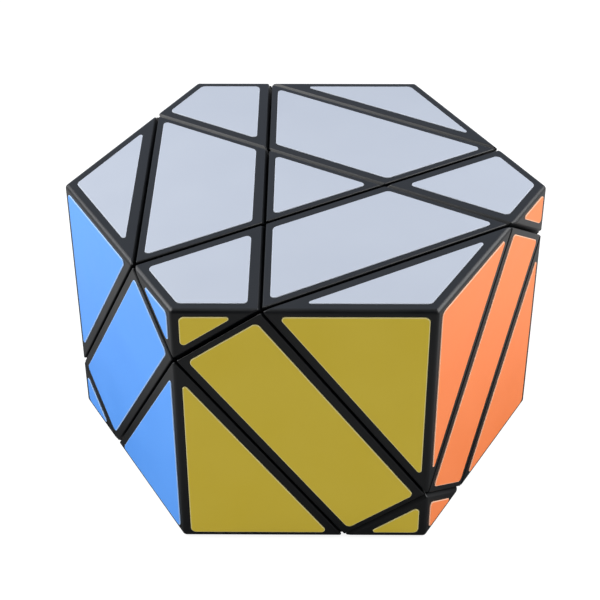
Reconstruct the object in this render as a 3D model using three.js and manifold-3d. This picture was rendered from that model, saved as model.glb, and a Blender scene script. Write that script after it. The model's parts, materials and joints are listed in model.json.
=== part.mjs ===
// A twisty puzzle in the shape of a hexagonal prism. Inside is a three-axis mechanism that stands on
// one of its own body diagonals: six screwed centres, twelve edges and eight corners are divided by
// three pairs of flat cuts, and any of the six outer layers turns about its own screw.
// Units are millimetres. +Z is the prism's axis, and the origin is the middle of its underside.
import * as THREE from "three";
import { mergeVertices } from "three/addons/utils/BufferGeometryUtils.js";
import Module from "manifold-3d";

const wasm = await Module();
wasm.setup();

// The prism and the cuts through it. At this height the slots of neighbouring faces meet on the rim.
const prismRadius = 47; // centre to upright edge
const prismHeight = 55.5;
const layerThickness = 19; // from one cut to the other cut of the same pair
const cutGap = 0.5; // running gap between blocks on the two sides of a cut
const shellWall = 1.8;
const fitGap = 0.3; // between the touching parts of one assembly

// The ball inside the blocks, where the feet hook under their neighbours.
const footLayerThickness = 12; // the same pair of cuts, closer together inside the ball
const footRadius = 21;
const footThickness = 4.5;
const ballGap = 0.4; // between the feet and the blocks that run over them

// The core and what its screws hold, stacked outwards along each screw.
const hubRadius = 8;
const armRadius = 4.5;
const armLength = 12;
const screwRadius = 1.5;
const screwGrip = 8; // how far a screw reaches into its arm
const screwHeadHeight = 2;
const screwHeadStep = 0.5; // how much less its radius is than the washer's
const washerThickness = 0.8;
const springLength = 5.4;
const springWireRadius = 0.45;
const springCoils = 3;
const stemWall = 1.3; // of the tube that the spring stands in
const stemFloor = 2.2; // what the spring presses on
const stemRise = 3; // how far the tube stands above the base plate
const plateThickness = 1.6;
const spigotHeight = 1.8; // of the plate's rim that the cap pushes over

// The peg that joins a corner's foot to its shell, and the hole that cores out an edge.
const pegRadius = 2.2;
const pegReach = 0.8; // how far it stands out of the shell's end wall
const coringRadius = 2.6;

// How finely the round forms are faceted.
const ballDetail = 3;
const innerBallDetail = 2;
const roundSides = 12;
const smallSides = 8;
const wireSides = 6;
const springStepsPerCoil = 7;

const blackPlastic = { color: 0x17191b, roughness: 0.38, metalness: 0 };
const corePlastic = { color: 0xd9d6cc, roughness: 0.5, metalness: 0 };
const zincSteel = { color: 0xb7bbbf, roughness: 0.35, metalness: 1 };
const springSteel = { color: 0x9a9da0, roughness: 0.3, metalness: 1 };

const layerCut = layerThickness / 2;
const footCut = footLayerThickness / 2;
const footInnerRadius = footRadius - footThickness;
const ballRadius = footRadius + ballGap; // underside of every block
const plateTopAt = ballRadius + plateThickness;
const stemAt = armLength + fitGap;
const stemRadius = footCut - cutGap / 2 - fitGap;
const springPocketRadius = stemRadius - stemWall;
const springPocketAt = stemAt + stemFloor;
const springAt = springPocketAt + fitGap;
const washerRadius = springPocketRadius - fitGap;
const washerAt = springAt + springLength + fitGap;
const screwHeadRadius = washerRadius - screwHeadStep;
const screwHeadAt = washerAt + washerThickness + fitGap;
const screwTipAt = armLength - screwGrip;
const screwHoleRadius = screwRadius + fitGap;
const cornerSeatRadius = ballRadius + fitGap; // underside of a corner's shell
const pegTopAt = cornerSeatRadius + shellWall + pegReach;
const reach = prismRadius + prismHeight; // past the prism in every direction

// A closed three.js geometry as a solid that can be joined and cut.
function solidOf(geometry) {
  const bare = geometry.index ? geometry.toNonIndexed() : geometry.clone();
  bare.deleteAttribute("normal");
  bare.deleteAttribute("uv");
  const merged = mergeVertices(bare, 1e-4);
  const corners = merged.index.array;
  const triangles = [];
  for (let i = 0; i < corners.length; i += 3) {
    const [a, b, c] = corners.slice(i, i + 3);
    if (a !== b && b !== c && c !== a) triangles.push(a, b, c);
  }
  return new wasm.Manifold(
    new wasm.Mesh({
      numProp: 3,
      vertProperties: merged.attributes.position.array,
      triVerts: new Uint32Array(triangles),
    }),
  );
}

function geometryOf(solid) {
  const mesh = solid.getMesh();
  return new THREE.BufferGeometry()
    .setAttribute("position", new THREE.BufferAttribute(mesh.vertProperties, 3))
    .setIndex(new THREE.BufferAttribute(mesh.triVerts, 1))
    .toNonIndexed();
}

const join = (first, ...rest) => rest.reduce((sum, solid) => sum.add(solid), first);
const cut = (first, ...rest) => rest.reduce((left, solid) => left.subtract(solid), first);
const common = (first, ...rest) => rest.reduce((shared, solid) => shared.intersect(solid), first);

// The mechanism's x, y and z screws lean outwards evenly from the prism's axis, a third of a turn apart.
const firstScrewAzimuth = -120;
function screwDirection(azimuthDegrees) {
  const azimuth = THREE.MathUtils.degToRad(azimuthDegrees);
  const outwards = Math.sqrt(2 / 3);
  return new THREE.Vector3(
    outwards * Math.cos(azimuth),
    outwards * Math.sin(azimuth),
    Math.sqrt(1 / 3),
  );
}
const stand = new THREE.Matrix4().makeBasis(
  screwDirection(firstScrewAzimuth),
  screwDirection(firstScrewAzimuth + 120),
  screwDirection(firstScrewAzimuth + 240),
);
const layDown = stand.clone().invert();

// The outer form, shrunk by an inset on every face, in the mechanism's own frame.
function prism(inset) {
  const radius = prismRadius - inset / Math.cos(Math.PI / 6);
  const height = prismHeight - 2 * inset;
  const outline = new THREE.Shape(
    [0, 1, 2, 3, 4, 5].map((k) => {
      const angle = (k * Math.PI) / 3;
      return new THREE.Vector2(radius * Math.cos(angle), radius * Math.sin(angle));
    }),
  );
  const form = new THREE.ExtrudeGeometry(outline, { depth: height, bevelEnabled: false });
  form.translate(0, 0, -height / 2);
  return solidOf(form.applyMatrix4(layDown));
}

function ball(radius, detail = ballDetail) {
  return solidOf(new THREE.IcosahedronGeometry(radius, detail));
}

// What lies between the cuts for one piece. Each sign says on which side of that axis's pair of cuts
// the piece is: +1 or -1 beyond a cut, 0 between the two.
function cell(signs, cutAt, inset = 0) {
  const inner = cutAt + cutGap / 2 + inset;
  const between = cutAt - cutGap / 2 - inset;
  const low = signs.map((s) => (s > 0 ? inner : s < 0 ? -reach : -between));
  const high = signs.map((s) => (s > 0 ? reach : s < 0 ? -inner : between));
  const size = high.map((h, i) => h - low[i]);
  const block = new THREE.BoxGeometry(...size);
  block.translate(...high.map((h, i) => (h + low[i]) / 2));
  return solidOf(block);
}

// A round bar along a direction, between two distances from the middle of the core.
function bar(direction, radius, from, to, sides = roundSides) {
  const along = new THREE.Vector3(...direction).normalize();
  const rod = new THREE.CylinderGeometry(radius, radius, to - from, sides);
  rod.translate(0, (from + to) / 2, 0);
  rod.applyQuaternion(new THREE.Quaternion().setFromUnitVectors(new THREE.Vector3(0, 1, 0), along));
  return solidOf(rod);
}

// A foot is the part of a cell between two balls.
function footPad(signs) {
  const wedge = common(cell(signs, footCut), ball(footRadius));
  return cut(wedge, ball(footInnerRadius, innerBallDetail));
}

// The waist between a foot and the block above it, narrow enough for both pairs of cuts.
function neck(signs, topRadius) {
  const waist = common(cell(signs, layerCut), cell(signs, footCut), ball(topRadius));
  return cut(waist, ball(footInnerRadius, innerBallDetail));
}

// A hollow block: its cell out to the prism's faces, less a ball, with the same wall all round.
function shell(signs, innerRadius) {
  const block = cut(common(cell(signs, layerCut), prism(0)), ball(innerRadius));
  const inside = common(cell(signs, layerCut, shellWall), prism(shellWall));
  return cut(block, cut(inside, ball(innerRadius + shellWall)));
}

// An edge is one moulding, cored out through its foot.
function edge(signs) {
  const root = neck(signs, ballRadius + shellWall / 2);
  const coring = bar(signs, coringRadius, footInnerRadius / 2, ballRadius + 2 * shellWall, smallSides);
  return cut(join(shell(signs, ballRadius), root, footPad(signs)), coring);
}

// A corner is two mouldings: its foot's peg plugs into the end wall of its shell.
function cornerFoot(signs) {
  const peg = bar(signs, pegRadius, footRadius - pegRadius, pegTopAt, smallSides);
  const trimmedPeg = common(peg, prism(shellWall + fitGap));
  return join(footPad(signs), neck(signs, ballRadius), trimmedPeg);
}

function cornerShell(signs) {
  const socket = bar(signs, pegRadius + fitGap, footRadius, pegTopAt + fitGap, smallSides);
  return cut(shell(signs, cornerSeatRadius), common(socket, prism(shellWall)));
}

// A slab across the whole mechanism between two distances along one screw.
function slab(signs, from, to) {
  const axis = signs.findIndex((s) => s !== 0);
  const size = [2 * reach, 2 * reach, 2 * reach];
  const middle = [0, 0, 0];
  size[axis] = to - from;
  middle[axis] = (signs[axis] * (from + to)) / 2;
  return solidOf(new THREE.BoxGeometry(...size).translate(...middle));
}

// A centre is two mouldings: a base with the spring's tube, and the hollow cap that hides the screw.
function centreBase(signs) {
  const square = common(cell(signs, layerCut), slab(signs, 0, plateTopAt), prism(0));
  const spigot = common(
    cell(signs, layerCut, shellWall + fitGap),
    slab(signs, plateTopAt - fitGap, plateTopAt + spigotHeight),
    prism(shellWall + fitGap),
  );
  const stem = bar(signs, stemRadius, stemAt, plateTopAt + stemRise);
  const pocket = bar(signs, springPocketRadius, springPocketAt, reach);
  const screwHole = bar(signs, screwHoleRadius, 0, springAt, smallSides);
  return cut(join(cut(square, ball(ballRadius)), spigot, stem), pocket, screwHole);
}

function centreCap(signs) {
  const block = common(cell(signs, layerCut), slab(signs, plateTopAt + fitGap, reach), prism(0));
  const inside = common(
    cell(signs, layerCut, shellWall),
    slab(signs, plateTopAt, reach),
    prism(shellWall),
  );
  return cut(block, inside);
}

// The six-armed core, with a pilot hole up each arm.
function core() {
  const arms = centres.map((signs) => bar(signs, armRadius, 0, armLength));
  const holes = centres.map((signs) =>
    bar(signs, screwHoleRadius, screwTipAt - fitGap, stemAt, smallSides),
  );
  return cut(join(ball(hubRadius, innerBallDetail), ...arms), ...holes);
}

// A form turned about +Y from a profile of radii and distances from the middle of the core.
function turned(profile) {
  const outline = profile.map(([radius, at]) => new THREE.Vector2(radius, at));
  return new THREE.LatheGeometry(outline, smallSides);
}

function screwGeometry() {
  const headTopAt = screwHeadAt + screwHeadHeight;
  const chamfer = screwHeadHeight / 4;
  return turned([
    [0, screwTipAt],
    [screwRadius, screwTipAt + 2 * screwRadius],
    [screwRadius, screwHeadAt],
    [screwHeadRadius, screwHeadAt],
    [screwHeadRadius, headTopAt - chamfer],
    [screwHeadRadius - chamfer, headTopAt],
    [0, headTopAt],
  ]);
}

function washerGeometry() {
  return turned([
    [screwHoleRadius, washerAt],
    [washerRadius, washerAt],
    [washerRadius, washerAt + washerThickness],
    [screwHoleRadius, washerAt + washerThickness],
    [screwHoleRadius, washerAt],
  ]);
}

function springGeometry() {
  const coilRadius = springPocketRadius - springWireRadius - fitGap;
  const rise = springLength - 2 * springWireRadius;
  const steps = Math.round(springCoils * springStepsPerCoil);
  const points = [];
  for (let i = 0; i <= steps; i++) {
    const turn = (2 * Math.PI * springCoils * i) / steps;
    const at = springAt + springWireRadius + (rise * i) / steps;
    points.push(new THREE.Vector3(coilRadius * Math.cos(turn), at, coilRadius * Math.sin(turn)));
  }
  const wire = new THREE.Shape();
  wire.absarc(0, 0, springWireRadius, 0, 2 * Math.PI);
  const path = new THREE.CatmullRomCurve3(points);
  return new THREE.ExtrudeGeometry(wire, { steps, curveSegments: wireSides / 2, extrudePath: path });
}

// Names say where a piece stands: level, then the way it faces, every 30 degrees round the prism.
const bearings = {
  0: "right",
  30: "right_back",
  60: "back_right",
  90: "back",
  120: "back_left",
  150: "left_back",
  180: "left",
  210: "left_front",
  240: "front_left",
  270: "front",
  300: "front_right",
  330: "right_front",
};

function placeName(signs) {
  const way = new THREE.Vector3(...signs).applyMatrix4(stand);
  const level = way.z > 0.1 ? "top" : way.z < -0.1 ? "bottom" : "side";
  if (Math.hypot(way.x, way.y) < 0.1) return level;
  const degrees = THREE.MathUtils.radToDeg(Math.atan2(way.y, way.x));
  const nearest = (Math.round(degrees / 30) * 30 + 360) % 360;
  return `${level}_${bearings[nearest]}`;
}

const layers = [-1, 0, 1];
const cells = layers.flatMap((x) => layers.flatMap((y) => layers.map((z) => [x, y, z])));
const cellsWith = (count) => cells.filter((signs) => signs.filter((s) => s !== 0).length === count);
const centres = cellsWith(1);

const mechanism = new THREE.Group();
mechanism.quaternion.setFromRotationMatrix(stand);
mechanism.position.z = prismHeight / 2;

function place(parent, name, geometry, finish) {
  const mesh = new THREE.Mesh(geometry, new THREE.MeshStandardMaterial(finish));
  mesh.name = name;
  parent.add(mesh);
}

place(mechanism, "core", geometryOf(core()), corePlastic);

const screwShape = screwGeometry();
const washerShape = washerGeometry();
const springShape = springGeometry();
for (const signs of centres) {
  const where = placeName(signs);
  place(mechanism, `centre_base_${where}`, geometryOf(centreBase(signs)), blackPlastic);
  place(mechanism, `centre_cap_${where}`, geometryOf(centreCap(signs)), blackPlastic);
  const stack = new THREE.Group();
  stack.quaternion.setFromUnitVectors(new THREE.Vector3(0, 1, 0), new THREE.Vector3(...signs));
  place(stack, `screw_${where}`, screwShape, zincSteel);
  place(stack, `washer_${where}`, washerShape, zincSteel);
  place(stack, `spring_${where}`, springShape, springSteel);
  mechanism.add(stack);
}

for (const signs of cellsWith(2)) {
  place(mechanism, `edge_${placeName(signs)}`, geometryOf(edge(signs)), blackPlastic);
}

for (const signs of cellsWith(3)) {
  const where = placeName(signs);
  place(mechanism, `corner_shell_${where}`, geometryOf(cornerShell(signs)), blackPlastic);
  place(mechanism, `corner_foot_${where}`, geometryOf(cornerFoot(signs)), blackPlastic);
}

const puzzle = new THREE.Group();
puzzle.add(mechanism);

export default puzzle;
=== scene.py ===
import itertools
import json
import math

import bmesh
import bpy
from mathutils import Matrix, Vector


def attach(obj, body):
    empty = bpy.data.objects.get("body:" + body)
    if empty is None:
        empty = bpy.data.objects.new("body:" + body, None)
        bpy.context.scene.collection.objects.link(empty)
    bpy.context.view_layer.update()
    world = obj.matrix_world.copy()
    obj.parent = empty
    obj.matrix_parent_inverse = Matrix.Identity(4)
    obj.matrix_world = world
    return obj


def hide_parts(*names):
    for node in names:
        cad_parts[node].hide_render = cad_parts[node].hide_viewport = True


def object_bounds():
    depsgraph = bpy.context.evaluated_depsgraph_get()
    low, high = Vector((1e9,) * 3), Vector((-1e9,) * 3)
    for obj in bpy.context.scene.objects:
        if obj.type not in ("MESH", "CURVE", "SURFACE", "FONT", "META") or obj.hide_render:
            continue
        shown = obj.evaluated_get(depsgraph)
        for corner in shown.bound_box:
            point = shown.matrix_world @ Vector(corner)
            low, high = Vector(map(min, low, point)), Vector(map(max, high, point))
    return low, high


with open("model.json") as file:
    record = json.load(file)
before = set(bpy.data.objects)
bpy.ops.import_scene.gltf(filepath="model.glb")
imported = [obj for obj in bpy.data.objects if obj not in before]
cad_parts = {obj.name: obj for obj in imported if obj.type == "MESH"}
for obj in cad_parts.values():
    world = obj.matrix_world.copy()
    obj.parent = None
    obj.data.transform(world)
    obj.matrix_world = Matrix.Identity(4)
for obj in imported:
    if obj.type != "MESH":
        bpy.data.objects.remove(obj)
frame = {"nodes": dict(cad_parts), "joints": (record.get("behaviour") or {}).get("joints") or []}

mm = 0.001
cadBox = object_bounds()
cadLow, cadHigh = cadBox
print("frame loaded:", len(frame["nodes"]), "nodes")

# The prism and its cuts, as the frame has them.
puzzle = {
    "radius": (cadHigh.x - cadLow.x) / 2,  # middle to upright edge
    "height": cadHigh.z - cadLow.z,
    "layer": 19 * mm,  # from one cut to the other of the same pair
    "cutGap": 0.5 * mm,
}
middle = Vector((0, 0, (cadLow.z + cadHigh.z) / 2))

# The three screws that lean upwards, in order round the prism, are the mechanism's x, y and z.
upper = [j for j in frame["joints"] if j["name"].startswith("turn_top")]
screws = sorted((Vector(j["axis"]) for j in upper), key=lambda way: math.atan2(way.y, way.x))
stand = Matrix(screws).transposed()
bearings = ["right", "right_back", "back_right", "back", "back_left", "left_back",
            "left", "left_front", "front_left", "front", "front_right", "right_front"]


def placeName(signs):
    way = stand @ Vector(signs)
    close = 0.1  # only has to be more than the rounding
    level = "top" if way.z > close else "bottom" if way.z < -close else "side"
    if math.hypot(way.x, way.y) < close:
        return level
    return f"{level}_{bearings[round(math.degrees(math.atan2(way.y, way.x)) / 30) % 12]}"


kinds = {1: "centre", 2: "edge", 3: "corner"}
cells = [s for s in itertools.product((-1, 0, 1), repeat=3) if any(s)]
bodyOf = {s: f"{kinds[sum(map(abs, s))]}_{placeName(s)}" for s in cells}


def cellBox(signs, layer, inset=0):
    # The corners of a block's cell between the cuts, in the mechanism's own directions.
    far = puzzle["radius"] + puzzle["height"]
    beyond = (layer + puzzle["cutGap"]) / 2 + inset
    between = (layer - puzzle["cutGap"]) / 2 - inset
    low = Vector([{1: beyond, 0: -between, -1: -far}[s] for s in signs])
    high = Vector([{1: far, 0: between, -1: -beyond}[s] for s in signs])
    return low, high


def linear(hexColour):
    parts = [int(hexColour[i:i + 2], 16) / 255 for i in (0, 2, 4)]
    return (*[c / 12.92 if c <= 0.04045 else ((c + 0.055) / 1.055) ** 2.4 for c in parts], 1)


# A Mix node's colour sockets, which share their names with its other kinds.
colourA, colourB, colourOut = (6,), (7,), 2


def addNode(tree, kind, settings=None, **links):
    node = tree.nodes.new(kind)
    for key, value in (settings or {}).items():
        if isinstance(key, str):
            setattr(node, key, value)
        else:
            node.inputs[key[0]].default_value = value
    for key, source in links.items():
        tree.links.new(source, node.inputs[key.replace("_", " ")])
    return node


def newTree(name, sockets):
    tree = bpy.data.node_groups.new(name, "GeometryNodeTree")
    tree.interface.new_socket("Geometry", in_out="OUTPUT", socket_type="NodeSocketGeometry")
    for label, kind in {"Geometry": "Geometry", **sockets}.items():
        tree.interface.new_socket(label, in_out="INPUT", socket_type="NodeSocket" + kind)
    return tree, tree.nodes.new("NodeGroupInput").outputs


def endTree(tree, geometry, material):
    whole = addNode(tree, "GeometryNodeRealizeInstances", Geometry=geometry)
    skinned = addNode(tree, "GeometryNodeSetMaterial", Geometry=whole.outputs[0], Material=material)
    addNode(tree, "NodeGroupOutput", Geometry=skinned.outputs[0])
    return tree


def growTree(piece, tree, values):
    grown = piece.modifiers.new(tree.name, "NODES")
    grown.node_group = tree
    for item in tree.interface.items_tree:
        if item.in_out == "INPUT" and item.name in values:
            grown[item.identifier] = values[item.name]


def newPiece(name, mesh=None):
    piece = bpy.data.objects.new(name, mesh or bpy.data.meshes.new(name))
    bpy.context.scene.collection.objects.link(piece)
    return piece


def meshOf(name, built, material):
    mesh = bpy.data.meshes.new(name)
    built.to_mesh(mesh)
    built.free()
    mesh.materials.append(material)
    return mesh


def bake(piece):
    # Turns the modifiers' result into the piece's own mesh, without empty material slots.
    evaluated = piece.evaluated_get(bpy.context.evaluated_depsgraph_get())
    piece.data = mesh = bpy.data.meshes.new_from_object(evaluated)
    piece.modifiers.clear()
    slots = list(mesh.materials)
    kept = [m for m in slots if m]
    if len(kept) < len(slots):
        places = [kept.index(m) if m else 0 for m in slots]
        wanted = [places[face.material_index] for face in mesh.polygons]
        mesh.materials.clear()
        for material in kept:
            mesh.materials.append(material)
        mesh.polygons.foreach_set("material_index", wanted)


def freeze(piece, sharpAngle=35):
    bake(piece)
    piece.data.shade_smooth()
    piece.data.set_sharp_from_angle(angle=math.radians(sharpAngle))
    flatten = piece.modifiers.new("flatten", "WEIGHTED_NORMAL")  # flats shade flat beside rounds
    flatten.keep_sharp = True
    bake(piece)
    return piece


def newMaterial(name):
    material = bpy.data.materials.new(name)
    material.use_nodes = True
    tree = material.node_tree
    shader = tree.nodes["Principled BSDF"]
    place = addNode(tree, "ShaderNodeTexCoord").outputs["Object"]
    return material, tree, shader, place


def mouldedAbs(name, colour, wear):
    # ABS from a fine spark-eroded mould: satin, with a faint grain and a little handling shine.
    material, tree, shader, place = newMaterial(name)
    grain = addNode(tree, "ShaderNodeTexNoise", {("Scale",): 1 / (0.35 * mm), ("Detail",): 3}, Vector=place)
    handled = addNode(tree, "ShaderNodeTexNoise", {("Scale",): 1 / (14 * mm), ("Detail",): 4}, Vector=place)
    shade = addNode(tree, "ShaderNodeMix", {
        "data_type": "RGBA", colourA: linear(colour), colourB: linear(wear)}, Factor=handled.outputs["Fac"])
    gloss = addNode(tree, "ShaderNodeMapRange", {
        ("From Min",): 0.3, ("From Max",): 0.7, ("To Min",): 0.32, ("To Max",): 0.44},
        Value=handled.outputs["Fac"])
    bump = addNode(tree, "ShaderNodeBump", {("Strength",): 0.35, ("Distance",): 0.012 * mm},
                   Height=grain.outputs["Fac"])
    tree.links.new(shade.outputs[colourOut], shader.inputs["Base Color"])
    tree.links.new(gloss.outputs["Result"], shader.inputs["Roughness"])
    tree.links.new(bump.outputs["Normal"], shader.inputs["Normal"])
    shader.inputs["IOR"].default_value = 1.53
    return material


def printedVinyl(name, colour, paler):
    # Calendered PVC film: even colour, a soft orange peel and slightly uneven gloss.
    material, tree, shader, place = newMaterial(name)
    peel = addNode(tree, "ShaderNodeTexNoise", {("Scale",): 1 / (1.6 * mm), ("Detail",): 2}, Vector=place)
    cloud = addNode(tree, "ShaderNodeTexNoise", {("Scale",): 1 / (11 * mm), ("Detail",): 3}, Vector=place)
    shade = addNode(tree, "ShaderNodeMix", {
        "data_type": "RGBA", colourA: linear(colour), colourB: linear(paler)}, Factor=cloud.outputs["Fac"])
    gloss = addNode(tree, "ShaderNodeMapRange", {
        ("From Min",): 0.3, ("From Max",): 0.7, ("To Min",): 0.36, ("To Max",): 0.46},
        Value=cloud.outputs["Fac"])
    bump = addNode(tree, "ShaderNodeBump", {("Strength",): 0.25, ("Distance",): 0.02 * mm},
                   Height=peel.outputs["Fac"])
    tree.links.new(shade.outputs[colourOut], shader.inputs["Base Color"])
    tree.links.new(gloss.outputs["Result"], shader.inputs["Roughness"])
    tree.links.new(bump.outputs["Normal"], shader.inputs["Normal"])
    shader.inputs["IOR"].default_value = 1.5
    return material


def paintedEdgeHighlight(name, colour):
    # The knife-cut edge of the film, coloured paler than its face: a painted highlight round the colour.
    material, tree, shader, place = newMaterial(name)
    drag = addNode(tree, "ShaderNodeTexNoise", {("Scale",): 1 / (0.6 * mm), ("Detail",): 2}, Vector=place)
    gloss = addNode(tree, "ShaderNodeMapRange", {("To Min",): 0.4, ("To Max",): 0.6},
                    Value=drag.outputs["Fac"])
    tree.links.new(gloss.outputs["Result"], shader.inputs["Roughness"])
    shader.inputs["Base Color"].default_value = linear(colour)
    return material


def acetal(name, colour):
    # Moulded acetal: waxy and slightly translucent, so its shading is soft.
    material, tree, shader, place = newMaterial(name)
    grain = addNode(tree, "ShaderNodeTexNoise", {("Scale",): 1 / (0.8 * mm), ("Detail",): 3}, Vector=place)
    gloss = addNode(tree, "ShaderNodeMapRange", {("To Min",): 0.36, ("To Max",): 0.52},
                    Value=grain.outputs["Fac"])
    bump = addNode(tree, "ShaderNodeBump", {("Strength",): 0.2, ("Distance",): 0.02 * mm},
                   Height=grain.outputs["Fac"])
    tree.links.new(gloss.outputs["Result"], shader.inputs["Roughness"])
    tree.links.new(bump.outputs["Normal"], shader.inputs["Normal"])
    shader.inputs["Base Color"].default_value = linear(colour)
    shader.inputs["IOR"].default_value = 1.48
    return material


def platedSteel(name, colour, roughness):
    # Zinc-plated or drawn steel: metallic, with fine streaks in its gloss.
    material, tree, shader, place = newMaterial(name)
    streak = addNode(tree, "ShaderNodeTexNoise", {("Scale",): 1 / (0.5 * mm), ("Detail",): 5}, Vector=place)
    gloss = addNode(tree, "ShaderNodeMapRange", {
        ("To Min",): roughness - 0.08, ("To Max",): roughness + 0.1}, Value=streak.outputs["Fac"])
    tree.links.new(gloss.outputs["Result"], shader.inputs["Roughness"])
    shader.inputs["Base Color"].default_value = linear(colour)
    shader.inputs["Metallic"].default_value = 1
    return material


blackAbs = mouldedAbs("blackAbs", "07090B", "0D1013")
coreAcetal = acetal("coreAcetal", "D9D6CC")
zincSteel = platedSteel("zincSteel", "B7BBBF", 0.34)
springSteel = platedSteel("springSteel", "9A9DA0", 0.28)

# Film colour, its slightly paler cloud, and the pale cut edge, a painted highlight, for each face.
films = {
    "white": ("B1B8C5", "B6BDC9", "C3CAD6"),
    "yellow": ("D9BD0C", "DEC31A", "E9DB8C"),
    "blue": ("509EFD", "59A4FF", "A6CBFA"),
    "orange": ("FF8440", "FF8B4A", "FFC4A0"),
    "green": ("12894A", "1A9152", "8FCBA9"),
    "red": ("B81425", "C01C2C", "E59AA0"),
    "purple": ("60369C", "683EA4", "B9A2D8"),
    "pink": ("E0719F", "E57BA7", "F3BFD3"),
}
filmFace = {name: printedVinyl(name + "Vinyl", c[0], c[1]) for name, c in films.items()}
filmEdgeHighlight = {name: paintedEdgeHighlight(name + "VinylEdge", c[2]) for name, c in films.items()}
print("materials made:", len(bpy.data.materials))


block = {
    "filmSeat": 0.16 * mm,  # how far the plastic lies under the stickers' faces
    "rimRound": 0.9 * mm,  # on the prism's own edges
    "slotRound": 0.25 * mm,  # on every other edge
    "wall": 1.8 * mm,
    "hollowRound": 0.5 * mm,
    "under": 21.4 * mm,  # the ball that the feet run in
    "cornerUnder": 21.7 * mm,
    "coring": 2.6 * mm,  # radius of the hole up an edge's foot
    "roundSides": 48,
    "rollDetail": 3,  # steps of the small ball that rounds the edges
    "ballDetail": 5,  # and of the balls that cut the blocks underneath
    "weld": 0.01 * mm,  # closer corners of a cut cell become one
    "sliver": 0.001 * mm,  # and so do those that a cut leaves
}


def rolled(tree, form, radius):
    # Rolls a small ball over a convex form, which rounds every edge of it.
    dot = addNode(tree, "GeometryNodeMeshIcoSphere", {("Subdivisions",): block["rollDetail"]}, Radius=radius)
    dots = addNode(tree, "GeometryNodeInstanceOnPoints", Points=form, Instance=dot.outputs["Mesh"])
    whole = addNode(tree, "GeometryNodeRealizeInstances", Geometry=dots.outputs["Instances"])
    return addNode(tree, "GeometryNodeConvexHull", Geometry=whole.outputs[0]).outputs[0]


def rollTree():
    tree, given = newTree("rollEdges", {"Round": "Float", "Material": "Material"})
    return endTree(tree, rolled(tree, given["Geometry"], given["Round"]), given["Material"])


def cellTree():
    # What lies inside one cell of the cuts, with its edges rounded.
    tree, given = newTree("cutToCell", {
        "Cell Size": "Vector", "Cell Middle": "Vector", "First Screw": "Vector", "Last Screw": "Vector",
        "Middle": "Vector", "Round": "Float", "Material": "Material"})
    cube = addNode(tree, "GeometryNodeMeshCube", Size=given["Cell Size"])
    moved = addNode(tree, "GeometryNodeTransform", Geometry=cube.outputs["Mesh"],
                    Translation=given["Cell Middle"])
    lean = addNode(tree, "FunctionNodeAxesToRotation", {"primary_axis": "Z", "secondary_axis": "X"},
                   Primary_Axis=given["Last Screw"], Secondary_Axis=given["First Screw"])
    leaning = addNode(tree, "GeometryNodeTransform", Geometry=moved.outputs[0],
                      Translation=given["Middle"], Rotation=lean.outputs[0])
    common = addNode(tree, "GeometryNodeMeshBoolean", {"operation": "INTERSECT", "solver": "EXACT"})
    for part in (leaning.outputs[0], given["Geometry"]):
        tree.links.new(part, common.inputs["Mesh 2"])
    merged = addNode(tree, "GeometryNodeMergeByDistance", {("Distance",): block["weld"]},
                     Geometry=common.outputs["Mesh"])
    return endTree(tree, rolled(tree, merged.outputs[0], given["Round"]), given["Material"])


rollEdges = rollTree()
cutToCell = cellTree()


def hexagonalPrism(name, inset):
    radius = puzzle["radius"] - inset / math.cos(math.radians(30))
    half = puzzle["height"] / 2 - inset
    built = bmesh.new()
    bmesh.ops.create_cone(built, cap_ends=True, segments=6, radius1=radius, radius2=radius, depth=2 * half,
                          matrix=Matrix.Translation(middle) @ Matrix.Rotation(math.radians(30), 4, "Z"))
    return meshOf(name, built, blackAbs)


def ballMesh(name, radius, material=blackAbs):
    built = bmesh.new()
    bmesh.ops.create_icosphere(built, subdivisions=block["ballDetail"], radius=radius,
                               matrix=Matrix.Translation(middle))
    return meshOf(name, built, material)


def bar(name, signs, radius, start, end, material=blackAbs):
    # A round bar from the middle outwards along a direction.
    way = (stand @ Vector(signs)).normalized()
    turn = way.to_track_quat("Z", "Y").to_matrix().to_4x4()
    built = bmesh.new()
    place = Matrix.Translation(middle + way * (start + end) / 2) @ turn
    bmesh.ops.create_cone(built, cap_ends=True, segments=block["roundSides"], radius1=radius, radius2=radius,
                          depth=end - start, matrix=place)
    return newPiece(name, meshOf(name, built, material))


def cellPiece(name, form, box, roundBy):
    # The box is already smaller by the rounding, which the rolled ball gives back.
    low, high = box
    piece = newPiece(name, form)
    growTree(piece, cutToCell, {
        "Cell Size": high - low, "Cell Middle": (high + low) / 2,
        "First Screw": screws[0], "Last Screw": screws[2], "Middle": middle,
        "Round": roundBy, "Material": blackAbs})
    return piece


def carve(piece, tool, operation="DIFFERENCE"):
    # Cuts with the tool or joins it on, and clears the slivers that this leaves.
    boolean = piece.modifiers.new(tool.name, "BOOLEAN")
    boolean.operation = operation
    boolean.object = tool
    boolean.solver = "EXACT"
    bake(piece)
    bpy.data.objects.remove(tool)
    built = bmesh.new()
    built.from_mesh(piece.data)
    bmesh.ops.remove_doubles(built, verts=built.verts, dist=block["sliver"])
    bmesh.ops.dissolve_degenerate(built, edges=built.edges, dist=block["sliver"])
    built.to_mesh(piece.data)
    built.free()


outerForm = newPiece("outerForm", hexagonalPrism("outerForm", block["filmSeat"] + block["rimRound"]))
growTree(outerForm, rollEdges, {"Round": block["rimRound"] - block["slotRound"], "Material": blackAbs})
outerMesh = freeze(outerForm).data
bpy.data.objects.remove(outerForm)
hollowMesh = hexagonalPrism("hollowForm", block["wall"] + block["hollowRound"])
print("outer form rounded")


def hollowOut(piece, signs, under):
    # Leaves the same wall all round.
    box = cellBox(signs, puzzle["layer"], block["wall"] + block["hollowRound"])
    hollow = cellPiece("hollow", hollowMesh, box, block["hollowRound"])
    carve(hollow, newPiece("wallBall", ballMesh("wallBall", under + block["wall"])))
    carve(piece, hollow)


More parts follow.
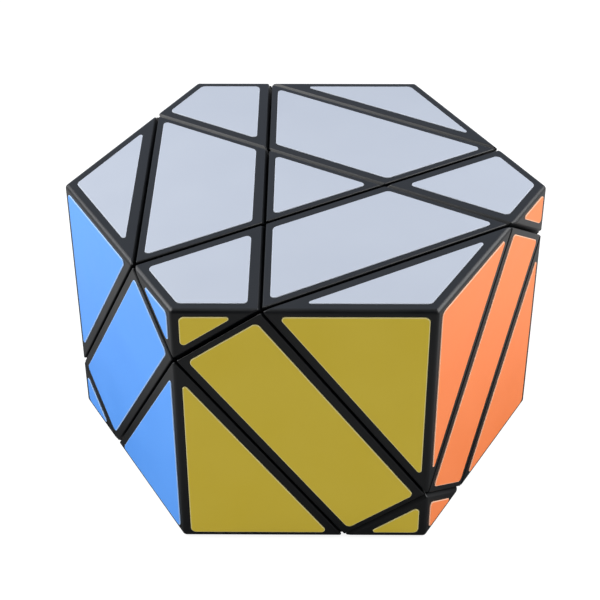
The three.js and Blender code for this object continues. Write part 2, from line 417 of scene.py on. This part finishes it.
foot = {
    "layer": 12 * mm,  # the same pair of cuts, closer together inside the ball
    "radius": 21 * mm,
    "inner": 16.5 * mm,
    "round": 0.5 * mm,
    "neckInset": 0.1 * mm,
    "intoBlock": 0.9 * mm,
    "peg": 2.2 * mm,  # radius of the peg that plugs into a corner's block
    "pegTop": 24.3 * mm,
    "fit": 0.3 * mm,
}
footBall = ballMesh("footBall", foot["radius"] - foot["round"])
neckBall = ballMesh("neckBall", block["under"] + foot["intoBlock"])


def footPiece(name, signs, neckForm):
    # The pad that hooks under the neighbours, and the neck that it hangs on.
    pad = cellPiece(name, footBall, cellBox(signs, foot["layer"], foot["round"]), foot["round"])
    neckLow, neckHigh = cellBox(signs, puzzle["layer"], foot["neckInset"])
    padLow, padHigh = cellBox(signs, foot["layer"], foot["neckInset"])
    box = (Vector(map(max, neckLow, padLow)), Vector(map(min, neckHigh, padHigh)))
    neck = cellPiece("neck", neckForm, box, 0)
    carve(pad, neck, "UNION")
    carve(pad, newPiece("innerBall", ballMesh("innerBall", foot["inner"])))
    return pad


def edgeBlock(where, signs):
    box = cellBox(signs, puzzle["layer"], block["slotRound"])
    piece = cellPiece("edge_block_" + where, outerMesh, box, block["slotRound"])
    carve(piece, newPiece("underBall", ballMesh("underBall", block["under"])))
    hollowOut(piece, signs, block["under"])
    carve(piece, footPiece("hook", signs, neckBall), "UNION")
    carve(piece, bar("hole", signs, block["coring"], foot["inner"] / 2, block["under"] + 2 * block["wall"]))
    return {piece: "edge_" + where}


def cornerBlock(where, signs):
    box = cellBox(signs, puzzle["layer"], block["slotRound"])
    piece = cellPiece("corner_block_" + where, outerMesh, box, block["slotRound"])
    carve(piece, newPiece("underBall", ballMesh("underBall", block["cornerUnder"])))
    hollowOut(piece, signs, block["cornerUnder"])
    socketTop = foot["pegTop"] + foot["fit"]
    carve(piece, bar("socket", signs, foot["peg"] + foot["fit"], foot["radius"], socketTop))
    hook = footPiece("corner_hook_" + where, signs, ballMesh("cornerNeck", block["under"]))
    carve(hook, bar("peg", signs, foot["peg"], foot["radius"] - foot["peg"], foot["pegTop"]), "UNION")
    return {piece: "corner_shell_" + where, hook: "corner_foot_" + where}


centre = {
    "plateTop": 23 * mm,
    "spigot": 1.8 * mm,
    "stemFrom": 12.3 * mm,
    "stemTo": 26 * mm,
    "stem": 5.45 * mm,
    "pocket": 4.15 * mm,
    "pocketFrom": 14.5 * mm,
    "screwHole": 1.8 * mm,
}


def along(signs, low, high, inset=0):
    # The same block's square column, between two distances along its screw.
    box = cellBox(signs, puzzle["layer"], inset)
    axis = [abs(s) for s in signs].index(1)
    outwards = signs[axis] > 0
    box[0][axis] = low if outwards else -high
    box[1][axis] = high if outwards else -low
    return box


def centreBlock(where, signs):
    far = puzzle["radius"] + puzzle["height"]
    seat = centre["plateTop"] + foot["fit"]
    rounding = block["slotRound"]
    capBox = along(signs, seat + rounding, far, rounding)
    cap = cellPiece("centre_cap_block_" + where, outerMesh, capBox, rounding)
    hollowBox = along(signs, centre["plateTop"], far, block["wall"] + block["hollowRound"])
    carve(cap, cellPiece("hollow", hollowMesh, hollowBox, block["hollowRound"]))
    plateBox = along(signs, centre["stemFrom"], centre["plateTop"] - rounding, rounding)
    base = cellPiece("centre_seat_" + where, outerMesh, plateBox, rounding)
    spigotTop = centre["plateTop"] + centre["spigot"] - rounding
    spigotBox = along(signs, centre["plateTop"] - foot["fit"], spigotTop,
                      block["wall"] + foot["fit"] + rounding)
    carve(base, cellPiece("spigot", outerMesh, spigotBox, rounding), "UNION")
    carve(base, newPiece("underBall", ballMesh("underBall", block["under"])))
    carve(base, bar("stem", signs, centre["stem"], centre["stemFrom"], centre["stemTo"]), "UNION")
    carve(base, bar("pocket", signs, centre["pocket"], centre["pocketFrom"], 2 * centre["stemTo"]))
    carve(base, bar("hole", signs, centre["screwHole"], 0, centre["pocketFrom"] + centre["spigot"]))
    return {cap: "centre_cap_" + where, base: "centre_base_" + where}


makers = {1: centreBlock, 2: edgeBlock, 3: cornerBlock}
for signs in cells:
    for piece, replaced in makers[sum(map(abs, signs))](placeName(signs), signs).items():
        freeze(piece)
        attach(piece, bodyOf[signs])
        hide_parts(replaced)
print("blocks moulded:", len(cells))


core = {
    "hub": 8 * mm,
    "arm": 4.5 * mm,
    "armLength": 12 * mm,
    "pilot": 1.8 * mm,  # radius of the holes that the screws bite into
    "pilotFrom": 3.7 * mm,
}
screwEnds = [s for s in cells if sum(map(abs, s)) == 1]


def coreMoulding():
    piece = newPiece("core_moulding", ballMesh("core_moulding", core["hub"], coreAcetal))
    for signs in screwEnds:
        carve(piece, bar("arm", signs, core["arm"], 0, core["armLength"], coreAcetal), "UNION")
    for signs in screwEnds:
        carve(piece, bar("pilot", signs, core["pilot"], core["pilotFrom"], core["armLength"] + foot["fit"]))
    freeze(piece)
    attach(piece, "core")
    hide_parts("core")


coreMoulding()
print("core moulded")

# What each screw holds, by distance from the middle of the core.
stack = {
    "shank": 1.5 * mm,
    "tipAt": 4 * mm,
    "tipFlat": 0.45 * mm,  # radius of its blunt end
    "tipRound": 0.3 * mm,
    "pointLong": 3 * mm,
    "threadTo": 12 * mm,
    "pitch": 1.1 * mm,
    "crest": 0.25 * mm,
    "head": 3.35 * mm,
    "headAt": 21.6 * mm,
    "headHeight": 2 * mm,
    "brim": 0.8 * mm,  # the upright rim under the head's dome
    "domeSteps": 9,
    "recessAcross": 3.8 * mm,
    "recessWide": 0.9 * mm,
    "recessDeep": 1.3 * mm,
    "recessTaper": 0.25,  # half the diagonal at its blade's tip, where the blade is 1 wide at its back
    "washer": 3.85 * mm,
    "washerHole": 1.8 * mm,
    "washerAt": 20.5 * mm,
    "washerThick": 0.8 * mm,
    "washerChamfer": 0.15 * mm,
    "springAt": 14.8 * mm,
    "springLong": 5.4 * mm,
    "wire": 0.45 * mm,
    "coil": 3.4 * mm,
    "coils": 3,
    "turnSteps": 40,  # along each turn of the spring and the thread
    "springSides": 20,
    "threadSides": 4,
    "sides": 48,
}


def turned(name, profile, material):
    # Spins a profile of radii and distances round the screw's axis.
    built = bmesh.new()
    corners = [built.verts.new((radius, 0, at)) for radius, at in profile]
    edges = [built.edges.new(pair) for pair in zip(corners, corners[1:])]
    bmesh.ops.spin(built, geom=corners + edges, axis=(0, 0, 1), cent=(0, 0, 0), angle=2 * math.pi,
                   steps=stack["sides"], use_merge=True)
    bmesh.ops.remove_doubles(built, verts=built.verts, dist=block["sliver"])
    bmesh.ops.recalc_face_normals(built, faces=built.faces)
    return newPiece(name, meshOf(name, built, material))


def coilTree():
    # A wire wound round the screw's axis. Closed ends flatten its first and last turn.
    tree, given = newTree("coilWire", {
        "Turns": "Float", "Coil Radius": "Float", "Rise": "Float", "Closed Ends": "Float",
        "Wire Radius": "Float", "Start": "Vector", "Wire Sides": "Int", "Material": "Material"})
    coil = addNode(tree, "GeometryNodeCurveSpiral", {("Resolution",): stack["turnSteps"], ("Height",): 0},
                   Rotations=given["Turns"], Start_Radius=given["Coil Radius"],
                   End_Radius=given["Coil Radius"])
    along = addNode(tree, "GeometryNodeSplineParameter").outputs["Factor"]
    eased = addNode(tree, "ShaderNodeMapRange", {"interpolation_type": "SMOOTHSTEP"}, Value=along)
    share = addNode(tree, "ShaderNodeMix", Factor=given["Closed Ends"], A=along, B=eased.outputs["Result"])
    height = addNode(tree, "ShaderNodeMath", {"operation": "MULTIPLY"})
    tree.links.new(share.outputs[0], height.inputs[0])
    tree.links.new(given["Rise"], height.inputs[1])
    upwards = addNode(tree, "ShaderNodeCombineXYZ", Z=height.outputs[0])
    wound = addNode(tree, "GeometryNodeSetPosition",
                    Geometry=coil.outputs["Curve"], Offset=upwards.outputs[0])
    section = addNode(tree, "GeometryNodeCurvePrimitiveCircle",
                      Resolution=given["Wire Sides"], Radius=given["Wire Radius"])
    wire = addNode(tree, "GeometryNodeCurveToMesh", {("Fill Caps",): True}, Curve=wound.outputs[0],
                   Profile_Curve=section.outputs["Curve"])
    placed = addNode(tree, "GeometryNodeTransform",
                     Geometry=wire.outputs["Mesh"], Translation=given["Start"])
    joined = addNode(tree, "GeometryNodeJoinGeometry")
    for part in (placed.outputs[0], given["Geometry"]):
        tree.links.new(part, joined.inputs[0])
    return endTree(tree, joined.outputs[0], given["Material"])


coilWire = coilTree()


def screwPiece(name):
    shank, tip, threadFrom = stack["shank"], stack["tipAt"], stack["tipAt"] + stack["pointLong"]
    headTop = stack["headAt"] + stack["headHeight"]
    domeRise = stack["headHeight"] - stack["brim"]
    angles = [math.radians(90 * k / stack["domeSteps"]) for k in range(stack["domeSteps"] + 1)]
    dome = [(stack["head"] * math.cos(a), headTop - domeRise * (1 - math.sin(a))) for a in angles]
    profile = [(0, tip), (stack["tipFlat"], tip + stack["tipRound"]), (shank, threadFrom),
               (shank, stack["headAt"]), (stack["head"], stack["headAt"]), *dome]
    piece = turned(name, profile, zincSteel)
    for k in range(2):  # two crossed blades cut the recess
        built = bmesh.new()
        bmesh.ops.create_cone(built, cap_ends=True, segments=4, radius1=stack["recessTaper"],
                              radius2=math.sqrt(0.5), depth=1,
                              matrix=Matrix.Rotation(math.radians(45), 4, "Z"))
        mesh = meshOf("blade", built, zincSteel)
        size = [stack["recessAcross"], stack["recessWide"], 2 * stack["recessDeep"]]
        mesh.transform(Matrix.Diagonal((*size, 1)))
        mesh.transform(Matrix.Translation((0, 0, headTop)) @ Matrix.Rotation(math.pi / 2 * k, 4, "Z"))
        carve(piece, newPiece("blade", mesh))
    turns = (stack["threadTo"] - threadFrom) / stack["pitch"]
    growTree(piece, coilWire, {
        "Turns": turns, "Coil Radius": shank - stack["crest"], "Rise": turns * stack["pitch"],
        "Closed Ends": 0.0, "Wire Radius": 2 * stack["crest"], "Start": Vector((0, 0, threadFrom)),
        "Wire Sides": stack["threadSides"], "Material": zincSteel})
    return freeze(piece)


def washerPiece(name):
    low, high = stack["washerAt"], stack["washerAt"] + stack["washerThick"]
    inner, outer, chamfer = stack["washerHole"], stack["washer"], stack["washerChamfer"]
    profile = [(inner, low), (outer - chamfer, low), (outer, low + chamfer), (outer, high - chamfer),
               (outer - chamfer, high), (inner, high), (inner, low)]
    return freeze(turned(name, profile, zincSteel))


def springPiece(name):
    piece = newPiece(name)
    piece.data.materials.append(springSteel)
    growTree(piece, coilWire, {
        "Turns": float(stack["coils"]), "Coil Radius": stack["coil"],
        "Rise": stack["springLong"] - 2 * stack["wire"], "Closed Ends": 1.0, "Wire Radius": stack["wire"],
        "Start": Vector((0, 0, stack["springAt"] + stack["wire"])),
        "Wire Sides": stack["springSides"], "Material": springSteel})
    return freeze(piece)


for signs in screwEnds:
    where = placeName(signs)
    way = (stand @ Vector(signs)).normalized()
    place = Matrix.Translation(middle) @ way.to_track_quat("Z", "Y").to_matrix().to_4x4()
    held = {screwPiece("cross_screw_" + where): ("screw_", "core", "zinc_steel"),
            washerPiece("plain_washer_" + where): ("washer_", "core", "zinc_steel"),
            springPiece("coil_spring_" + where): ("spring_", bodyOf[signs], "spring_steel")}
    for piece, (replaced, body, finish) in held.items():
        piece.data.transform(place)
        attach(piece, body)
        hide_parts(replaced + where)
print("screws, washers and springs made:", 3 * len(screwEnds))

sticker = {
    "film": 0.16 * mm,
    "hexagonMargin": 2.2 * mm,  # to the prism's own edges, on its two hexagons
    "sideMargin": 1.5 * mm,  # the same on its sides
    "slotMargin": 1.65 * mm,
    "smallSlotMargin": 0.9 * mm,  # round a centre's small triangles
    "cornerRound": 1.5 * mm,  # on a straight corner, and less as it gets sharper
    "cornerSteps": 8,
    "cutEdge": 0.2 * mm,  # the rounding along the film's edge
    "cutSteps": 2,
    "sharpAngle": 40,
    "shortest": 0.3 * mm,  # a side shorter than this isn't cut
}


def stickerTree():
    tree, given = newTree("cutSticker", {
        "Face Middle": "Vector", "Face Normal": "Vector", "Face Right": "Vector",
        "Film": "Float", "Material": "Material", "Edge Material": "Material"})
    outline = addNode(tree, "GeometryNodeMeshToCurve", Mesh=given["Geometry"])
    radius = addNode(tree, "GeometryNodeInputNamedAttribute", {
        "data_type": "FLOAT", ("Name",): "cornerRound"})
    rounded = addNode(tree, "GeometryNodeFilletCurve", {
        "mode": "POLY", ("Count",): sticker["cornerSteps"], ("Limit Radius",): True},
        Curve=outline.outputs["Curve"], Radius=radius.outputs["Attribute"])
    sheet = addNode(tree, "GeometryNodeFillCurve", {"mode": "NGONS"}, Curve=rounded.outputs["Curve"])
    raised = addNode(tree, "GeometryNodeExtrudeMesh", {("Individual",): False},
                     Mesh=sheet.outputs["Mesh"], Offset_Scale=given["Film"])
    top = addNode(tree, "GeometryNodeStoreNamedAttribute", {
        "data_type": "FLOAT", "domain": "FACE", ("Name",): "top"},
        Geometry=raised.outputs["Mesh"], Value=raised.outputs["Top"])
    under = addNode(tree, "GeometryNodeFlipFaces", Mesh=sheet.outputs["Mesh"])
    closed = addNode(tree, "GeometryNodeJoinGeometry")
    for part in (top.outputs[0], under.outputs[0]):
        tree.links.new(part, closed.inputs[0])
    merged = addNode(tree, "GeometryNodeMergeByDistance", {("Distance",): block["sliver"]},
                     Geometry=closed.outputs[0])
    # Top faces hold 1 and the others 0, so an edge between the two holds a half.
    share = addNode(tree, "GeometryNodeInputNamedAttribute", {"data_type": "FLOAT", ("Name",): "top"})
    onBrim = addNode(tree, "FunctionNodeCompare", {"operation": "EQUAL", ("B",): 0.5, ("Epsilon",): 0.1},
                     A=share.outputs["Attribute"])
    weighted = addNode(tree, "GeometryNodeStoreNamedAttribute", {
        "data_type": "FLOAT", "domain": "EDGE", ("Name",): "bevel_weight_edge"},
        Geometry=merged.outputs[0], Value=onBrim.outputs["Result"])
    turn = addNode(tree, "FunctionNodeAxesToRotation", {"primary_axis": "Z", "secondary_axis": "X"},
                   Primary_Axis=given["Face Normal"], Secondary_Axis=given["Face Right"])
    placed = addNode(tree, "GeometryNodeTransform", Geometry=weighted.outputs[0],
                     Translation=given["Face Middle"], Rotation=turn.outputs[0])
    whole = addNode(tree, "GeometryNodeRealizeInstances", Geometry=placed.outputs[0])
    faced = addNode(tree, "GeometryNodeSetMaterial", Geometry=whole.outputs[0], Material=given["Material"])
    notTop = addNode(tree, "FunctionNodeCompare", {"operation": "LESS_THAN", ("B",): 0.5},
                     A=share.outputs["Attribute"])
    edged = addNode(tree, "GeometryNodeSetMaterial", Geometry=faced.outputs[0],
                    Selection=notTop.outputs["Result"], Material=given["Edge Material"])
    addNode(tree, "NodeGroupOutput", Geometry=edged.outputs[0])
    return tree


cutSticker = stickerTree()


def prismFaces():
    # Each face's name, colour, normal, right-hand direction and corners.
    turns = [math.radians(60 * k) for k in range(6)]
    rim = [Vector((math.cos(t), math.sin(t), 0)) * puzzle["radius"] for t in turns]
    up = Vector((0, 0, puzzle["height"]))
    across = Vector((1, 0, 0))
    faces = [("top", "white", Vector((0, 0, 1)), across, [p + up for p in rim]),
             ("bottom", "pink", Vector((0, 0, -1)), across, rim[::-1])]
    sideColours = {"right_back": "red", "back": "purple", "left_back": "green",
                   "left_front": "blue", "front": "yellow", "right_front": "orange"}
    for k, (name, colour) in enumerate(sideColours.items()):
        a, b = rim[k], rim[(k + 1) % 6]
        normal = (a + b).normalized()
        faces.append((name, colour, normal, (b - a).normalized(), [a, b, b + up, a + up]))
    return faces


def clip(outline, normal, offset):
    # Keeps what lies behind a plane. Each corner carries the kind of the side that starts there.
    kept = []
    for (here, kind), (there, _) in zip(outline, outline[1:] + outline[:1]):
        a, b = normal.dot(here) - offset, normal.dot(there) - offset
        if a <= 0:
            kept.append((here, kind))
        if a * b < 0:
            kept.append((here.lerp(there, a / (a - b)), "slot" if a < 0 else kind))
    return kept


def blockFace(signs, corners):
    low, high = cellBox(signs, puzzle["layer"])
    outline = [(p, "rim") for p in corners]
    for screw, nearest, furthest in zip(screws, low, high):
        offset = screw.dot(middle)
        outline = clip(outline, screw, offset + furthest)
        outline = clip(outline, -screw, -offset - nearest)
    return outline


def marginsOn(normal, signs):
    if abs(normal.z) > 0.5:
        return {"rim": sticker["hexagonMargin"], "slot": sticker["slotMargin"]}
    isCentre = sum(map(abs, signs)) == 1
    return {"rim": sticker["sideMargin"], "slot": sticker["smallSlotMargin" if isCentre else "slotMargin"]}


def insetOutline(outline, normal, margins):
    # Moves each side in by its margin, and drops corners that then all but coincide.
    inset = outline
    for (here, kind), (there, _) in zip(outline, outline[1:] + outline[:1]):
        if (there - here).length > sticker["shortest"]:
            outwards = (there - here).cross(normal).normalized()
            inset = clip(inset, outwards, outwards.dot(here) - margins[kind])
    corners = [p for p, _ in inset]
    return [p for i, p in enumerate(corners) if (p - corners[i - 1]).length > sticker["shortest"]]


def stickerPiece(name, corners, colour, normal, right):
    upward = normal.cross(right)
    origin = corners[0]
    flat = [Vector(((p - origin).dot(right), (p - origin).dot(upward), 0)) for p in corners]
    mesh = bpy.data.meshes.new(name)
    mesh.from_pydata(flat, [(i, (i + 1) % len(flat)) for i in range(len(flat))], [])
    rounds = mesh.attributes.new("cornerRound", "FLOAT", "POINT")
    for i, corner in enumerate(flat):
        before, after = flat[i - 1] - corner, flat[(i + 1) % len(flat)] - corner
        rounds.data[i].value = sticker["cornerRound"] * math.sin(before.angle(after) / 2)
    mesh.materials.append(filmFace[colour])
    mesh.materials.append(filmEdgeHighlight[colour])
    piece = newPiece(name, mesh)
    growTree(piece, cutSticker, {
        "Face Middle": origin - normal * sticker["film"], "Face Normal": normal, "Face Right": right,
        "Film": sticker["film"], "Material": filmFace[colour], "Edge Material": filmEdgeHighlight[colour]})
    bake(piece)
    cut = piece.modifiers.new("cut", "BEVEL")
    cut.limit_method = "WEIGHT"
    cut.width = sticker["cutEdge"]
    cut.segments = sticker["cutSteps"]
    cut.material = 1  # the film's edge
    return freeze(piece, sticker["sharpAngle"])


made = 0
for faceName, colour, normal, right, corners in prismFaces():
    for signs in cells:
        outline = insetOutline(blockFace(signs, corners), normal, marginsOn(normal, signs))
        if len(outline) < 3:
            continue
        name = f"sticker_{faceName}_{bodyOf[signs]}"
        piece = stickerPiece(name, outline, colour, normal, right)
        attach(piece, bodyOf[signs])
        made += 1
print("stickers cut:", made)


studio = {
    "lens": 94.56,
    "camera": Vector((1.3, -258.1, 221.1)) * mm,
    "tilt": 53.1,  # degrees up from straight down
    "swing": 0.54,
    "roll": -0.16,
    "frontWall": 0.3,  # how bright the room is on the camera's side
    "backWall": 0.64,  # and behind the puzzle
    "windowColour": "DFEAFF",  # daylight from behind
    "windowFrom": -0.2,  # how far round the room the daylight's colour starts and is full
    "windowTo": 0.8,
    "darkTowards": Vector((0, -0.76, 0.65)),  # where the camera and its stand darken the room
    "darkFrom": 0.35,  # how nearly that way it starts and is full
    "darkTo": 0.85,
    "darkest": 0.05,
    "tableHalf": 3,  # in metres
    "floorDrop": 0.03 * mm,  # the floor lies this far under the puzzle
    "sheenDrop": 0.02 * mm,
    "floorColour": "8C8C8C",
    "floorGlow": 0.9,  # the table is lit from below
    "sheenNear": 0.1,  # how bright the painted reflection of the table is beside the puzzle, painted shade there
    "sheenFar": 0.62,
    "sheenFront": 0.38,  # less of the painted reflection towards the camera, as painted shade
    "sheenFrom": 45 * mm,
    "sheenTo": 100 * mm,
    "boxSize": 0.2,  # in metres, as is how far away the boxes stand
    "boxAway": 0.25,
    "boxes": {"leftBox": (180, 44, 0.56), "rightBox": (0, 38, 0.5)},  # azimuth, elevation, watts
}


def addCamera():
    data = bpy.data.cameras.new("camera")
    data.lens = studio["lens"]
    data.clip_start, data.clip_end = 10 * mm, 10
    camera = bpy.data.objects.new("camera", data)
    bpy.context.scene.collection.objects.link(camera)
    turn = [Matrix.Rotation(math.radians(studio[key]), 4, axis)
            for key, axis in (("swing", "Z"), ("tilt", "X"), ("roll", "Z"))]
    camera.matrix_world = Matrix.Translation(studio["camera"]) @ turn[0] @ turn[1] @ turn[2]
    bpy.context.scene.camera = camera


def addSoftbox(name, azimuth, elevation, power):
    data = bpy.data.lights.new(name, "AREA")
    data.size = studio["boxSize"]
    data.energy = power
    lamp = bpy.data.objects.new(name, data)
    bpy.context.scene.collection.objects.link(lamp)
    a, e = math.radians(azimuth), math.radians(elevation)
    back = Vector((math.cos(a) * math.cos(e), math.sin(a) * math.cos(e), math.sin(e)))
    lamp.location = middle + back * studio["boxAway"]
    lamp.rotation_mode = "QUATERNION"
    lamp.rotation_quaternion = back.to_track_quat("Z", "Y")


def tableSheet(name, drop, material):
    half, at = studio["tableHalf"], cadLow.z - drop
    mesh = bpy.data.meshes.new(name)
    mesh.from_pydata([(-half, -half, at), (half, -half, at), (half, half, at), (-half, half, at)],
                     [], [(0, 1, 2, 3)])
    mesh.materials.append(material)
    return newPiece(name, mesh)


def addFloor():
    material, _, shader, _ = newMaterial("paleFloor")
    shader.inputs["Base Color"].default_value = linear(studio["floorColour"])
    shader.inputs["Roughness"].default_value = 0.7
    shader.inputs["Specular IOR Level"].default_value = 0.1
    shader.inputs["Emission Color"].default_value = linear("FFFFFF")
    shader.inputs["Emission Strength"].default_value = studio["floorGlow"]
    floor = tableSheet("floor", studio["floorDrop"], material)
    floor.visible_glossy = False  # the sheen sheet stands for it there


def addSheen():
    # A glowing sheet that only glossy faces see, a painted reflection of the table: painted shade beside the
    # puzzle and brighter further out.
    material, tree, shader, place = newMaterial("tableSheen")
    parts = addNode(tree, "ShaderNodeSeparateXYZ", Vector=place)
    away = addNode(tree, "ShaderNodeVectorMath", {"operation": "LENGTH"}, Vector=place)
    ring = addNode(tree, "ShaderNodeMapRange", {
        ("From Min",): studio["sheenFrom"], ("From Max",): studio["sheenTo"],
        ("To Min",): studio["sheenNear"], ("To Max",): studio["sheenFar"]}, Value=away.outputs["Value"])
    side = addNode(tree, "ShaderNodeMapRange", {
        ("From Min",): -studio["sheenTo"], ("From Max",): 0,
        ("To Min",): studio["sheenFront"], ("To Max",): 1}, Value=parts.outputs["Y"])
    glow = addNode(tree, "ShaderNodeMath", {"operation": "MULTIPLY"})
    tree.links.new(ring.outputs["Result"], glow.inputs[0])
    tree.links.new(side.outputs["Result"], glow.inputs[1])
    tree.links.new(glow.outputs[0], shader.inputs["Emission Strength"])
    shader.inputs["Emission Color"].default_value = linear("FFFFFF")
    shader.inputs["Base Color"].default_value = linear("000000")
    shader.inputs["Specular IOR Level"].default_value = 0
    sheen = tableSheet("sheen", studio["sheenDrop"], material)
    for rays in ("camera", "diffuse", "shadow", "transmission", "volume_scatter"):
        setattr(sheen, "visible_" + rays, False)


def addWorld():
    world = bpy.data.worlds.new("studio")
    bpy.context.scene.world = world
    world.use_nodes = True
    tree = world.node_tree
    direction = addNode(tree, "ShaderNodeTexCoord").outputs["Object"]
    parts = addNode(tree, "ShaderNodeSeparateXYZ", Vector=direction)
    wall = addNode(tree, "ShaderNodeMapRange", {
        ("From Min",): -1, ("From Max",): 1,
        ("To Min",): studio["frontWall"], ("To Max",): studio["backWall"]}, Value=parts.outputs["Y"])
    facing = addNode(tree, "ShaderNodeVectorMath", {
        "operation": "DOT_PRODUCT", (1,): studio["darkTowards"]})
    tree.links.new(direction, facing.inputs[0])
    kept = addNode(tree, "ShaderNodeMapRange", {
        ("From Min",): studio["darkFrom"], ("From Max",): studio["darkTo"],
        ("To Min",): 1, ("To Max",): studio["darkest"]}, Value=facing.outputs["Value"])
    strength = addNode(tree, "ShaderNodeMath", {"operation": "MULTIPLY"})
    tree.links.new(wall.outputs["Result"], strength.inputs[0])
    tree.links.new(kept.outputs["Result"], strength.inputs[1])
    cool = addNode(tree, "ShaderNodeMapRange", {
        ("From Min",): studio["windowFrom"], ("From Max",): studio["windowTo"]}, Value=parts.outputs["Y"])
    tint = addNode(tree, "ShaderNodeMix", {
        "data_type": "RGBA", colourA: linear("FFFFFF"), colourB: linear(studio["windowColour"])},
        Factor=cool.outputs["Result"])
    tree.links.new(tint.outputs[colourOut], tree.nodes["Background"].inputs["Color"])
    tree.links.new(strength.outputs[0], tree.nodes["Background"].inputs["Strength"])


bpy.context.scene.view_settings.view_transform = "Standard"
addCamera()
addFloor()
addSheen()
addWorld()
for name, (azimuth, elevation, power) in studio["boxes"].items():
    addSoftbox(name, azimuth, elevation, power)
print("studio lit")
